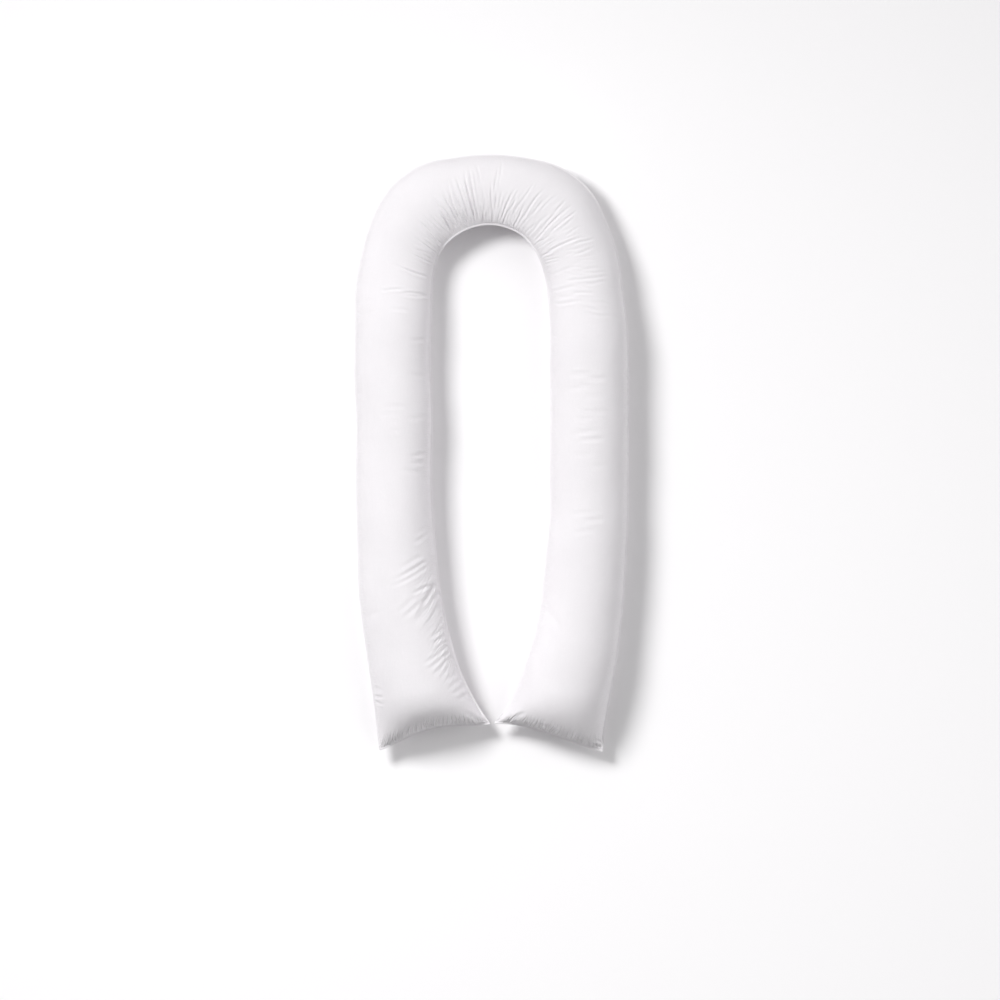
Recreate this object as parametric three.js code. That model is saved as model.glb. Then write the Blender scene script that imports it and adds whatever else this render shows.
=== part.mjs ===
// A U-shaped pregnancy pillow: one long cloth case, sewn flat from an upper and a lower panel and
// stuffed full, lying on its back. Millimetres, +Z up. The legs run along Y, the bend is at +Y and
// the two open ends are at -Y. The panels meet in one seam that runs all the way round at about
// half height, higher on the gathered inside of the bend, and stands out as a narrow flat lip.
import * as THREE from "three";

// Driving sizes
const SEAM_LIP = 6; // how far the sewn edge stands out of the filled case
const LIP_THICK = 2.4; // both panels and their turnings, pressed flat
const LEFT_CROWN = 196; // height of the filled case, by place
const RIGHT_CROWN = 190;
const BEND_CROWN = 166;
const SEAM_SHARE = 0.48; // height of the seam, as a share of the crown
const BEND_LIFT = 40; // how far the gathers draw the inner seam up round the bend
const LEFT_LIFT = 8; // and along the left leg
const END_SAG = 22; // how far the end seam lies below the seam of the legs
const CORNER_DROOP = 8; // how far the empty corner tips hang below the rest of the end seam
const PRESS = 12; // how far the weight presses the round underside flat against the surface
const ACROSS = 0.94; // spacing of the section's points, closer at the side seams
const FULL_SIDES = 0.94; // below 1 the sides of a section are round and full
const END_SIDES = 1.7; // above 1 they run out thin and pointed, as at the end seams
const END_REACH = 150; // from the end seam to where the case has its full height
const CORNER_REACH = 250; // from the end seam to where the sides are full again
const BEND_CENTRE = { x: 0, y: 490 };
const PROFILE_POINTS = 12; // across the upper panel, and the same across the lower one

// Plan of the legs, from the bend down to the end seam. inner and outer are the distances of the
// two edges from the pillow's middle line, y is where the section meets the inner edge, lag is how
// much further down it meets the outer edge, and steps divides the stretch that leads to the row.
const LEFT_LEG = [
  { y: 369, lag: 0, inner: 180, outer: 408, steps: 4 },
  { y: 243, lag: 0, inner: 181, outer: 411, steps: 2 },
  { y: 99, lag: 0, inner: 176, outer: 405, steps: 2 },
  { y: -45, lag: 0, inner: 178, outer: 406, steps: 2 },
  { y: -189, lag: 0, inner: 174, outer: 404, steps: 2 },
  { y: -297, lag: 0, inner: 165, outer: 401, steps: 2 },
  { y: -405, lag: 4, inner: 154, outer: 398, steps: 4 },
  { y: -495, lag: 10, inner: 138, outer: 388, steps: 6 },
  { y: -575, lag: 20, inner: 117, outer: 375, steps: 6 },
  { y: -645, lag: 32, inner: 96, outer: 363, steps: 5 },
  { y: -705, lag: 45, inner: 70, outer: 353, steps: 4 },
  { y: -755, lag: 58, inner: 43, outer: 346, steps: 3 },
  { y: -790, lag: 69, inner: 21, outer: 341, steps: 3 },
  { y: -812, lag: 78, inner: 5, outer: 337, steps: 4 },
];
const RIGHT_LEG = [
  { y: 369, lag: 0, inner: 174, outer: 407, steps: 4 },
  { y: 243, lag: 0, inner: 173, outer: 411, steps: 2 },
  { y: 99, lag: 0, inner: 175, outer: 411, steps: 2 },
  { y: -45, lag: 0, inner: 173, outer: 411, steps: 2 },
  { y: -189, lag: 0, inner: 174, outer: 410, steps: 2 },
  { y: -297, lag: 0, inner: 162, outer: 404, steps: 2 },
  { y: -405, lag: 4, inner: 152, outer: 398, steps: 4 },
  { y: -495, lag: 11, inner: 139, outer: 389, steps: 4 },
  { y: -575, lag: 22, inner: 119, outer: 379, steps: 4 },
  { y: -645, lag: 35, inner: 96, outer: 365, steps: 3 },
  { y: -705, lag: 48, inner: 74, outer: 353, steps: 3 },
  { y: -755, lag: 62, inner: 50, outer: 342, steps: 3 },
  { y: -790, lag: 74, inner: 27, outer: 336, steps: 3 },
  { y: -811, lag: 84, inner: 10, outer: 334, steps: 4 },
];
const LEFT_END = { bow: 28, bowAt: 0.5 }; // how far the end seam is drawn in, and where across it
const RIGHT_END = { bow: 15, bowAt: 0.32 };

// Plan of the bend: radii of the two edges about BEND_CENTRE, angle in degrees from +X over +Y.
const BEND = [
  { angle: 180, inner: 177, outer: 407, steps: 4 },
  { angle: 165, inner: 178, outer: 403, steps: 7 },
  { angle: 150, inner: 183, outer: 413, steps: 8 },
  { angle: 135, inner: 186, outer: 427, steps: 9 },
  { angle: 120, inner: 186, outer: 425, steps: 9 },
  { angle: 105, inner: 186, outer: 406, steps: 9 },
  { angle: 90, inner: 185, outer: 400, steps: 9 },
  { angle: 75, inner: 182, outer: 404, steps: 9 },
  { angle: 60, inner: 178, outer: 417, steps: 9 },
  { angle: 45, inner: 170, outer: 415, steps: 9 },
  { angle: 30, inner: 165, outer: 397, steps: 8 },
  { angle: 15, inner: 162, outer: 391, steps: 7 },
  { angle: 0, inner: 165, outer: 392, steps: 7 },
];

// Main creases round the bend, each a soft trough on the upper panel. angle is where it starts by
// the inner edge, lean is how far it has turned at its outer end, from and to are shares of the
// width counted from the inner edge, and depth and half are in millimetres.
const BEND_CREASES = [
  { angle: 171, lean: -4, from: 0.08, to: 0.5, depth: 4, half: 8 },
  { angle: 139.5, lean: -1.5, from: 0.06, to: 0.44, depth: 5, half: 7 },
  { angle: 125.3, lean: -0.3, from: 0.06, to: 0.34, depth: 7, half: 6 },
  { angle: 118, lean: -1, from: 0.08, to: 0.56, depth: 6, half: 7 },
  { angle: 110, lean: 2.5, from: 0.08, to: 0.56, depth: 4, half: 7 },
  { angle: 104, lean: -0.7, from: 0.08, to: 0.8, depth: 6, half: 7 },
  { angle: 97, lean: -2.4, from: 0.08, to: 0.34, depth: 3, half: 7 },
  { angle: 88.6, lean: 1.9, from: 0.06, to: 0.56, depth: 5.5, half: 7 },
  { angle: 81.5, lean: -7, from: 0.06, to: 0.56, depth: 5.5, half: 8 },
  { angle: 72.5, lean: -5.3, from: 0.22, to: 0.68, depth: 4, half: 7 },
  { angle: 69.4, lean: -1.6, from: 0.06, to: 0.34, depth: 5, half: 7 },
  { angle: 65, lean: -3.7, from: 0.2, to: 0.66, depth: 5, half: 7 },
  { angle: 46.8, lean: -1.2, from: 0.06, to: 0.74, depth: 6, half: 8 },
  { angle: 42.2, lean: -0.2, from: 0.26, to: 0.74, depth: 4, half: 7 },
  { angle: 31.3, lean: -2, from: 0.06, to: 0.6, depth: 5, half: 8 },
  { angle: 20.8, lean: -0.2, from: 0.44, to: 0.72, depth: 3.5, half: 8 },
  { angle: 4.4, lean: -1, from: 0.34, to: 0.84, depth: 3, half: 9 },
  { angle: -5, lean: 2, from: 0.06, to: 0.66, depth: 3, half: 9 },
];

// Creases in the flare of the left leg, where the straight tube opens to the wide end. y is where
// the trough starts by the inner edge, and drop is how much further down its outer end lies.
const LEFT_CREASES = [
  { y: -331, drop: 51, from: 0.14, to: 0.58, depth: 3.5, half: 10 },
  { y: -388, drop: 60, from: 0.1, to: 0.5, depth: 4, half: 9 },
  { y: -394, drop: 102, from: 0.03, to: 0.4, depth: 7, half: 9 },
  { y: -436, drop: 74, from: 0.04, to: 0.36, depth: 4.5, half: 9 },
  { y: -588, drop: 38, from: 0.04, to: 0.34, depth: 4.5, half: 8 },
  { y: -618, drop: 46, from: 0.03, to: 0.32, depth: 4.5, half: 8 },
];

const lerp = THREE.MathUtils.lerp;
const smoothstep = THREE.MathUtils.smoothstep;

// One row of a plan table as two points on the edges, tips of the seam lip.
function legRow(row, side, end) {
  return {
    inner: new THREE.Vector3(side * row.inner, row.y, 0),
    outer: new THREE.Vector3(side * row.outer, row.y - row.lag, 0),
    steps: row.steps,
    end,
  };
}

function bendRow(row) {
  const turn = THREE.MathUtils.degToRad(row.angle);
  const ray = new THREE.Vector3(Math.cos(turn), Math.sin(turn), 0);
  const centre = new THREE.Vector3(BEND_CENTRE.x, BEND_CENTRE.y, 0);
  return {
    inner: ray.clone().multiplyScalar(row.inner).add(centre),
    outer: ray.clone().multiplyScalar(row.outer).add(centre),
    steps: row.steps,
    end: null,
  };
}

// All rows in order: up the left leg, round the bend and down the right leg. A row's steps divide
// the stretch before it on the left leg's table, so they move one row along when it is reversed.
function allRows() {
  const left = LEFT_LEG.map((row) => legRow(row, -1, LEFT_END)).reverse();
  const steps = left.map((row) => row.steps);
  left.forEach((row, i) => {
    row.steps = i === 0 ? 0 : steps[i - 1];
  });
  const bend = BEND.map(bendRow);
  const right = RIGHT_LEG.map((row) => legRow(row, 1, RIGHT_END));
  return [...left, ...bend, ...right];
}

// Places along the rows, as a row number and a fraction. The last stretch at each end is eased, so
// that sections crowd where the case rounds over to the end seam.
function stations(rows) {
  const places = [0];
  rows.forEach((row, i) => {
    for (let k = 1; k <= row.steps && i > 0; k += 1) {
      const share = k / row.steps;
      const eased = i === 1 ? share ** 2 : 1 - (1 - share) ** 2;
      places.push(i - 1 + (i === 1 || i === rows.length - 1 ? eased : share));
    }
  });
  return places;
}

// Direction of a point from the centre of the bend, in degrees. It grows past 180 where the bend
// runs on into the left leg, and below 0 into the right one.
function bendAngle(point) {
  const turn = Math.atan2(point.y - BEND_CENTRE.y, point.x - BEND_CENTRE.x);
  const angle = THREE.MathUtils.radToDeg(turn);
  return angle < -90 ? angle + 360 : angle;
}

// Depth of the troughs at a point of the upper panel. share is its place across the width.
function creaseDepth(point, share) {
  let depth = 0;
  const radius = Math.hypot(point.x - BEND_CENTRE.x, point.y - BEND_CENTRE.y);
  const reach = (crease) =>
    smoothstep(share, crease.from, crease.from + 0.1) *
    (1 - smoothstep(share, crease.to - 0.2, crease.to));
  if (point.y > BEND_CENTRE.y - 80) {
    for (const crease of BEND_CREASES) {
      const run = (share - crease.from) / (crease.to - crease.from);
      const turn = bendAngle(point) - crease.angle - crease.lean * run;
      const off = (THREE.MathUtils.degToRad(turn) * radius) / crease.half;
      depth += crease.depth * Math.exp(-off * off) * reach(crease);
    }
  } else if (point.x < 0) {
    for (const crease of LEFT_CREASES) {
      const run = (share - crease.from) / (crease.to - crease.from);
      const off = (point.y - crease.y + crease.drop * run) / crease.half;
      depth += crease.depth * Math.exp(-off * off) * reach(crease);
    }
  }
  return depth;
}

// Height of the filled case along the pillow: the two legs differ a little and the bend is flatter.
function fullCrown(middle) {
  const leg = middle.x < 0 ? LEFT_CROWN : RIGHT_CROWN;
  return lerp(leg, BEND_CROWN, smoothstep(middle.y, 330, 620));
}

// How far the gathers draw the inner seam up, on the inside of the bend most of all.
function seamLift(middle, fill) {
  const turn = bendAngle(middle);
  const inBend = smoothstep(turn, -5, 40) * (1 - smoothstep(turn, 118, 175));
  return lerp(middle.x < 0 ? LEFT_LIFT * fill : 0, BEND_LIFT, inBend);
}

// One closed ring of points round the case: over the upper panel from the inner edge to the outer
// one, and back under the lower panel. away is the distance to the end seam.
function ring(inner, outer, end, away) {
  const across = outer.clone().sub(inner);
  const width = across.length();
  across.normalize();
  const along = new THREE.Vector3(-across.y, across.x, 0);
  if (along.y < 0) along.negate(); // towards the bend, where the end seam is drawn in
  const middle = inner.clone().add(outer).multiplyScalar(0.5);
  const crown = fullCrown(middle);
  const near = end ? Math.min(away / END_REACH, 1) : 1;
  const height = Math.sqrt(1 - (1 - near) ** 2); // as a share of the full height
  const fill = end ? smoothstep(away, 0, CORNER_REACH) : 1;
  const sides = lerp(END_SIDES, FULL_SIDES, Math.sqrt(fill));
  const drawn = end ? end.bow * Math.exp(-((away / 75) ** 2)) : 0;
  const point = (share, z) => {
    const skew = end ? share ** (Math.log(0.5) / Math.log(end.bowAt)) : share;
    const inward = drawn * Math.sin(Math.PI * skew) ** 1.5;
    const droop = end ? CORNER_DROOP * (1 - fill) * (2 * share - 1) ** 2 : 0;
    const place = inner.clone().addScaledVector(across, share * width).addScaledVector(along, inward);
    place.z = z - droop;
    return place;
  };
  const seam = crown * SEAM_SHARE - END_SAG * (1 - fill);
  const lift = seamLift(middle, fill);
  const level = (share, sign) => seam + lift * (1 - share) ** 2 + (sign * LIP_THICK) / 2;
  const lip = SEAM_LIP / width;
  const upper = [];
  const lower = [];
  for (let i = 0; i < PROFILE_POINTS; i += 1) {
    const turn = (Math.PI * i) / (PROFILE_POINTS - 1);
    const side = Math.sign(Math.cos(turn)) * Math.abs(Math.cos(turn)) ** ACROSS;
    const share = 0.5 - (0.5 - lip) * side;
    const bulge = Math.abs(Math.sin(turn)) ** sides;
    const over = level(share, 1);
    const top = point(share, over + height * (crown - over) * bulge);
    const trough = creaseDepth(top, share) * Math.min(1, bulge * 3);
    top.z -= trough * bulge;
    top.addScaledVector(across, trough * side * (1 - bulge));
    upper.push(top);
    const below = level(share, -1);
    const under = point(share, below - height * (below + PRESS) * bulge);
    under.z = Math.max(under.z, 0);
    lower.push(under);
  }
  const tip = (share, sign) => point(share, level(share, sign));
  return [tip(0, 1), ...upper, tip(1, 1), tip(1, -1), ...lower.reverse(), tip(0, -1)];
}

// The ring past an end seam's own, where both panels lie flat against each other as the lip.
function lipRing(last, beyond) {
  const step = beyond.clone().setZ(0).setLength(SEAM_LIP);
  return last.map((place) => place.clone().add(step));
}

function caseRings() {
  const rows = allRows();
  const edge = (name) => new THREE.CatmullRomCurve3(rows.map((row) => row[name]));
  const inner = edge("inner");
  const outer = edge("outer");
  const lastRow = rows.length - 1;
  const middleOf = (i) => rows[i].inner.clone().add(rows[i].outer).multiplyScalar(0.5);
  const ends = [middleOf(0), middleOf(lastRow)];
  const rings = stations(rows).map((place) => {
    const a = inner.getPoint(place / lastRow);
    const b = outer.getPoint(place / lastRow);
    const middle = a.clone().add(b).multiplyScalar(0.5);
    const row = rows[Math.round(place)];
    const away = middle.distanceTo(middle.x < 0 ? ends[0] : ends[1]);
    return ring(a, b, row.end, away);
  });
  const out = (k, next) => middleOf(k).sub(middleOf(next));
  return [
    lipRing(rings[0], out(0, 1)),
    ...rings,
    lipRing(rings[rings.length - 1], out(lastRow, lastRow - 1)),
  ];
}

// The rings joined into one closed surface, each end closed by a strip between its two panels.
function loft(rings) {
  const around = rings[0].length;
  const faces = [];
  const quad = (a, b, c, d) => faces.push(a, c, b, a, d, c);
  rings.slice(1).forEach((unused, k) => {
    for (let i = 0; i < around; i += 1) {
      const next = (i + 1) % around;
      quad(k * around + i, k * around + next, (k + 1) * around + next, (k + 1) * around + i);
    }
  });
  const last = (rings.length - 1) * around;
  for (let i = 0; i < around / 2 - 1; i += 1) {
    const back = around - 1 - i;
    quad(i, back, back - 1, i + 1);
    quad(last + i, last + i + 1, last + back - 1, last + back);
  }
  const geometry = new THREE.BufferGeometry().setFromPoints(rings.flat());
  geometry.setIndex(faces);
  return geometry;
}

// Moves the case so that the origin is under the middle of its outline, at the resting surface.
function centred(geometry) {
  geometry.computeBoundingBox();
  const middle = geometry.boundingBox.getCenter(new THREE.Vector3());
  geometry.translate(-middle.x, -middle.y, -geometry.boundingBox.min.z);
  geometry.computeVertexNormals();
  return geometry;
}

const cotton = new THREE.MeshStandardMaterial({ color: 0xf2f1f3, roughness: 0.9, metalness: 0 });
const pillow = new THREE.Mesh(centred(loft(caseRings())), cotton);
pillow.name = "pillow";

const model = new THREE.Group();
model.add(pillow);

export default model;
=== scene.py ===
# %% [markdown]
# # A U-shaped pregnancy pillow
#
# The pillow is one long cotton case, cut as an upper and a lower panel, sewn together all the way
# round and stuffed full. It lies flat: two legs run side by side from a gathered bend, and their
# open ends are sewn flat, so they are wide and thin there. This lesson builds it from its plan,
# swells it with a cloth simulation, presses the creases in and gives it a woven finish.

import bpy
import numpy as np
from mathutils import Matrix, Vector


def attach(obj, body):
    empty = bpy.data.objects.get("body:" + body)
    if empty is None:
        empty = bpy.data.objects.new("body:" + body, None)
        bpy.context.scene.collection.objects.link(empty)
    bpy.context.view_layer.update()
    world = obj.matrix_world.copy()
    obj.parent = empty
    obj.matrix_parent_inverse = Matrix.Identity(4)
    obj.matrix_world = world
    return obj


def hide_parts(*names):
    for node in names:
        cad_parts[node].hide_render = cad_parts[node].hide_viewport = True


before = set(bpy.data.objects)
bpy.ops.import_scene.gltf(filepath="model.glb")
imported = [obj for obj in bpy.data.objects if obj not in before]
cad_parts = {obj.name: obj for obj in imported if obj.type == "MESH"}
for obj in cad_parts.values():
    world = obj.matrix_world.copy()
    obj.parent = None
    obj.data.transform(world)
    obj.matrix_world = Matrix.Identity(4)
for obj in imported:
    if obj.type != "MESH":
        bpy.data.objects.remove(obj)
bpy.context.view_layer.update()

# %% [markdown]
# ## The camera
#
# The picture looks straight down on the pillow from far away. A view without any perspective would
# look nearly the same. Here a long lens hangs high over the pillow, as a photographer would hang
# it. The camera is moved a little off the pillow's middle in place of a lens shift, because the
# pillow lies a little up and left in its square frame.

# %% Hang the camera
MM = 0.001
MM_PER_PIXEL = 2.99
PICTURE = 1000  # pixels along each side
PILLOW_MIDDLE = (491.6, 453.3)  # pixel over the middle of the pillow's outline
SENSOR = 36.0
LENS = 135.0
SEAM_HEIGHT = 0.09  # metres: the outline lies in this plane
FURTHEST = 100.0  # metres that the camera sees

camera = bpy.data.objects.new("camera", bpy.data.cameras.new("camera"))
camera.data.sensor_width = SENSOR
camera.data.lens = LENS
camera_height = LENS / SENSOR * PICTURE * MM_PER_PIXEL * MM
camera.location = (
    (PICTURE / 2 - PILLOW_MIDDLE[0]) * MM_PER_PIXEL * MM,
    (PILLOW_MIDDLE[1] - PICTURE / 2) * MM_PER_PIXEL * MM,
    SEAM_HEIGHT + camera_height,
)
camera.data.clip_end = FURTHEST
bpy.context.scene.collection.objects.link(camera)
bpy.context.scene.camera = camera
print("camera at", [round(x, 3) for x in camera.location])

# %% [markdown]
# ## The plan
#
# Seen from above, the case is a strip between two edges: the inner one round the space for the
# body, and the outer one. Each row below is one section across the strip, in millimetres, with the
# distances of both edges from the middle line. Towards the ends the strip runs slanted, so there
# the outer edge lags behind the inner one. The solid model is made from the same rows, so the cloth
# lies where the solid lies.

# %% Rows of numbers with named columns
def table(columns, rows):
    """Rows of numbers under named columns, as a list of dictionaries."""
    names = columns.split()
    return [dict(zip(names, row)) for row in rows]


# %% Rows across the legs
LEFT_LEG = table("y lag inner outer", [
    (369, 0, 180, 408),
    (243, 0, 181, 411),
    (99, 0, 176, 405),
    (-45, 0, 178, 406),
    (-189, 0, 174, 404),
    (-297, 0, 165, 401),
    (-405, 4, 154, 398),
    (-495, 10, 138, 388),
    (-575, 20, 117, 375),
    (-645, 32, 96, 363),
    (-705, 45, 70, 353),
    (-755, 58, 43, 346),
    (-790, 69, 21, 341),
    (-812, 78, 5, 337),
])
RIGHT_LEG = table("y lag inner outer", [
    (369, 0, 174, 407),
    (243, 0, 173, 411),
    (99, 0, 175, 411),
    (-45, 0, 173, 411),
    (-189, 0, 174, 410),
    (-297, 0, 162, 404),
    (-405, 4, 152, 398),
    (-495, 11, 139, 389),
    (-575, 22, 119, 379),
    (-645, 35, 96, 365),
    (-705, 48, 74, 353),
    (-755, 62, 50, 342),
    (-790, 74, 27, 336),
    (-811, 84, 10, 334),
])
print("rows on the left and the right leg:", len(LEFT_LEG), len(RIGHT_LEG))

# %% Rows round the bend
BEND_CENTRE = np.array([0.0, 490.0])
BEND = table("angle inner outer", [
    (180, 177, 407),
    (165, 178, 403),
    (150, 183, 413),
    (135, 186, 427),
    (120, 186, 425),
    (105, 186, 406),
    (90, 185, 400),
    (75, 182, 404),
    (60, 178, 417),
    (45, 170, 415),
    (30, 165, 397),
    (15, 162, 391),
    (0, 165, 392),
])
print("rows round the bend:", len(BEND))


# %% The two edges
def edge_points(name):
    """The points of one edge, up the left leg, round the bend and down the right leg."""
    lag = 1.0 if name == "outer" else 0.0
    left = [(-row[name], row["y"] - lag * row["lag"]) for row in reversed(LEFT_LEG)]
    right = [(row[name], row["y"] - lag * row["lag"]) for row in RIGHT_LEG]
    turns = np.radians([row["angle"] for row in BEND])
    radii = np.array([row[name] for row in BEND], float)
    bend = BEND_CENTRE + radii[:, None] * np.stack([np.cos(turns), np.sin(turns)], 1)
    return np.vstack([left, bend, right])


INNER, OUTER = edge_points("inner"), edge_points("outer")
LAST = len(INNER) - 1
print("rows in all:", LAST + 1)

# %% [markdown]
# ## A flowing edge
#
# The panels are cut in one flowing line. Straight lines between the rows would leave corners, and
# a curve that only passes near the rows would cut the bend too small. The curve below goes through
# every row. Its steps follow the square root of the distance between two rows, which keeps it from
# swinging out where rows lie close together.


# %% Curve through the rows
def through(points, place):
    """A smooth curve through the points at the given places, as row number and fraction."""
    ends = np.vstack([2 * points[0] - points[1], points, 2 * points[-1] - points[-2]])
    k = np.clip(np.floor(place).astype(int), 0, len(points) - 2)
    t = (place - k)[:, None]
    before, a, b, after = ends[k], ends[k + 1], ends[k + 2], ends[k + 3]

    def span(p, q):
        return np.sqrt(np.linalg.norm(q - p, axis=1))[:, None]

    d0, d1, d2 = span(before, a), span(a, b), span(b, after)
    slope_a = d1 * ((a - before) / d0 - (b - before) / (d0 + d1)) + (b - a)
    slope_b = (b - a) - d1 * ((after - a) / (d1 + d2) - (after - b) / d2)
    bend_2 = 3 * (b - a) - 2 * slope_a - slope_b
    bend_3 = 2 * (a - b) + slope_a + slope_b
    return a + t * (slope_a + t * (bend_2 + t * bend_3))


# %% Walk along the middle
FINE_STEPS = 4000


def walked(line):
    """Distance walked along a line of points, point by point."""
    return np.concatenate([[0], np.cumsum(np.linalg.norm(np.diff(line, axis=0), axis=1))])


FINE = np.linspace(0, LAST, FINE_STEPS)
MIDDLE = (through(INNER, FINE) + through(OUTER, FINE)) / 2
WALK = walked(MIDDLE)
LENGTH = WALK[-1]
print("length along the middle:", round(LENGTH), "mm")

# %% [markdown]
# ## Rings of points
#
# A ring of points goes round the case at each section: over the upper panel, round the sewn lip,
# and back under the lower one. Even distances would be simpler, but would either waste points on
# the smooth legs or be too coarse for the creases. So the rings stand close together at the bend,
# at the flare of the left leg and at both ends, and further apart elsewhere.

# %% Soft steps
def smooth(x, low, high):
    """0 below low, 1 above high, and a soft step between them."""
    t = np.clip((x - low) / (high - low), 0, 1)
    return t * t * (3 - 2 * t)


def blend(a, b, t):
    """a where t is 0, b where it is 1."""
    return a + (b - a) * t


def between(x, rise, fall):
    """1 between two soft steps, and 0 outside them."""
    return smooth(x, *rise) * (1 - smooth(x, *fall))


# %% Rings at uneven distances
LEG_PITCH, BEND_PITCH, FLARE_PITCH, END_PITCH = 15.0, 4.3, 6.2, 3.4
INTO_BEND = (250, 420)  # along y
FLARE_RINGS = (-780, -600), (-320, -200)  # along y
NEAR_END = (40, 300)  # from an end


def ring_places():
    """Places of the rings: close where the cloth is creased, wide apart on the smooth legs."""
    x, y = MIDDLE[:, 0], MIDDLE[:, 1]
    from_end = np.minimum(WALK, LENGTH - WALK)
    flare = between(y, *FLARE_RINGS) * (x < 0)
    pitch = blend(LEG_PITCH, BEND_PITCH, smooth(y, *INTO_BEND))
    pitch = np.minimum(pitch, blend(LEG_PITCH, FLARE_PITCH, flare))
    pitch = np.minimum(pitch, blend(END_PITCH, LEG_PITCH, smooth(from_end, *NEAR_END)))
    rings_passed = np.cumsum(np.diff(WALK) / ((pitch[1:] + pitch[:-1]) / 2))
    count = np.concatenate([[0], rings_passed])
    steps = np.linspace(0, count[-1], int(round(count[-1])) + 1)
    return np.interp(steps, count, FINE)


place = ring_places()
print("rings:", len(place))

# %% Where every ring lies
inner, outer = through(INNER, place), through(OUTER, place)
width = np.linalg.norm(outer - inner, axis=1)[:, None]
across = (outer - inner) / width
towards_bend = np.stack([-across[:, 1], across[:, 0]], 1)
towards_bend *= np.where(towards_bend[:, 1] < 0, -1, 1)[:, None]
middle = (inner + outer) / 2
on_left = middle[:, :1] < 0
nearest_end = np.where(on_left, (INNER[0] + OUTER[0]) / 2, (INNER[-1] + OUTER[-1]) / 2)
away = np.linalg.norm(middle - nearest_end, axis=1)[:, None]
print("width of the case: %.0f to %.0f mm" % (width.min(), width.max()))

# %% [markdown]
# ## How full the case is
#
# Stuffing makes a section nearly an ellipse. At an end both panels meet in one flat seam, so close
# to it the case gets lower and its sides get thinner. One ellipse scaled down would make the ends
# too round, so the height, the seam and the roundness of the sides each have their own course.

# %% How full every ring is
LEFT_CROWN, RIGHT_CROWN, BEND_CROWN = 196.0, 190.0, 166.0  # heights of the top
LOWER_FROM = (330, 620)  # along y, the top goes down to the bend's height
END_REACH, CORNER_REACH = 150.0, 250.0  # how far from an end the top and the sides are full
FULL_SIDES, END_SIDES = 0.94, 1.7  # 1 is an ellipse, and more is thinner at the sides
SEAM_SHARE = 0.48  # height of the seam, as a share of the crown's
END_SAG = 22.0  # how much lower the seam is at an end

crown = np.where(on_left, LEFT_CROWN, RIGHT_CROWN)
crown = blend(crown, BEND_CROWN, smooth(middle[:, 1:], *LOWER_FROM))
full = np.sqrt(1 - (1 - np.clip(away / END_REACH, 0, 1)) ** 2)
fill = smooth(away, 0, CORNER_REACH)
sides = blend(END_SIDES, FULL_SIDES, np.sqrt(fill))
seam = crown * SEAM_SHARE - END_SAG * (1 - fill)
print("full rings:", int((fill > 0.99).sum()), "of", len(fill))

# %% [markdown]
# ## The gathered bend
#
# Round the inside of the bend the cloth is longer than the seam it is sewn to. It gathers there,
# draws the seam up and lies looser on that side. The direction from the centre of the bend says
# where on it a ring is, so each of these can come and go at its own angle.

# %% Direction from the centre of the bend
def bend_angle(points, centre):
    """Direction from the centre in degrees: past 180 on the left leg, below 0 on the right."""
    angle = np.degrees(np.arctan2(points[:, 1] - centre[1], points[:, 0] - centre[0]))
    return np.where(angle < -90, angle + 360, angle)


# %% Where the cloth is gathered
BEND_LIFT, LEFT_LIFT = 40.0, 8.0  # how far the inner seam is drawn up
INNER_SLACK, OUTER_SLACK = 0.6, 0.6  # how loosely the cloth lies on both sides of the bend
RIGHT_GATHERED = 0.6  # against 1 on the left half of the bend
IN_BEND = (-5, 40), (118, 175)  # degrees over which it comes in, and goes out again
GATHERED = (6, 34), (148, 174)
OUTER_LOOSE = (2, 24), (58, 84)
INTO_LEFT_HALF = (62, 108)
FLARED = (-790, -620), (-420, -300)  # along y

turned = bend_angle(middle, BEND_CENTRE)[:, None]
in_bend = between(turned, *IN_BEND)
left_half = smooth(turned, *INTO_LEFT_HALF)
lift = blend(np.where(on_left, LEFT_LIFT * fill, 0), BEND_LIFT, in_bend)
gathered = between(turned, *GATHERED) * blend(RIGHT_GATHERED, 1, left_half)
inner_slack = INNER_SLACK * in_bend * left_half
outer_slack = OUTER_SLACK * between(turned, *OUTER_LOOSE)
flared = between(middle[:, 1:], *FLARED) * on_left
print("rings in the gathered bend:", int((gathered > 0.5).sum()))

# %% [markdown]
# ## Over and under
#
# Each panel is a row of points from the inner seam to the outer one. The sewn lip stands out past
# the stuffing as a flat strip, four layers of cloth thick, and gravity turns it down a little. The
# underside carries the weight, so it is pressed flat on the ground.

# %% Points across a panel
SEAM_LIP = 6.0  # width of the sewn lip
LIP_THICK = 2.4
LIP_EDGE = 0.4  # share of the lip's width over which its edge is rounded
EDGE_THICK = 0.7  # thickness of the edge itself, against 1 on the rest of the lip
LIP_POINTS = 4  # points of a panel that lie on its two lips
ACROSS = 0.94  # below 1 spreads the points towards the lips
UPPER_POINTS, LOWER_POINTS = 25, 11


def panel_points(count):
    """Shares of the width, bulge and half the lip's thickness, across one panel."""
    turn = np.linspace(0, np.pi, count)[None]
    lip = SEAM_LIP / width
    panel = 0.5 - (0.5 - lip) * np.sign(np.cos(turn)) * np.abs(np.cos(turn)) ** ACROSS
    share = np.hstack([0 * lip, LIP_EDGE * lip, panel, 1 - LIP_EDGE * lip, 1 + 0 * lip])
    bulge = np.sin(turn) ** (sides + inner_slack * (1 - panel) ** 2 + outer_slack * panel**2)
    bulge = np.pad(bulge, [(0, 0), (2, 2)])
    thick = LIP_THICK / 2 * np.array([EDGE_THICK] + (count + 2) * [1] + [EDGE_THICK])
    return share, bulge, thick


above, bulge_above, thick_above = panel_points(UPPER_POINTS)
below, bulge_below, thick_below = panel_points(LOWER_POINTS)
share = np.hstack([above, below[:, ::-1]])
print("points round a ring:", share.shape[1])

# %% Heights over and under
LIP_TURN = 4.0  # how far the lip is turned down
PRESS = 12.0  # how far the round underside would reach into the ground


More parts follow.
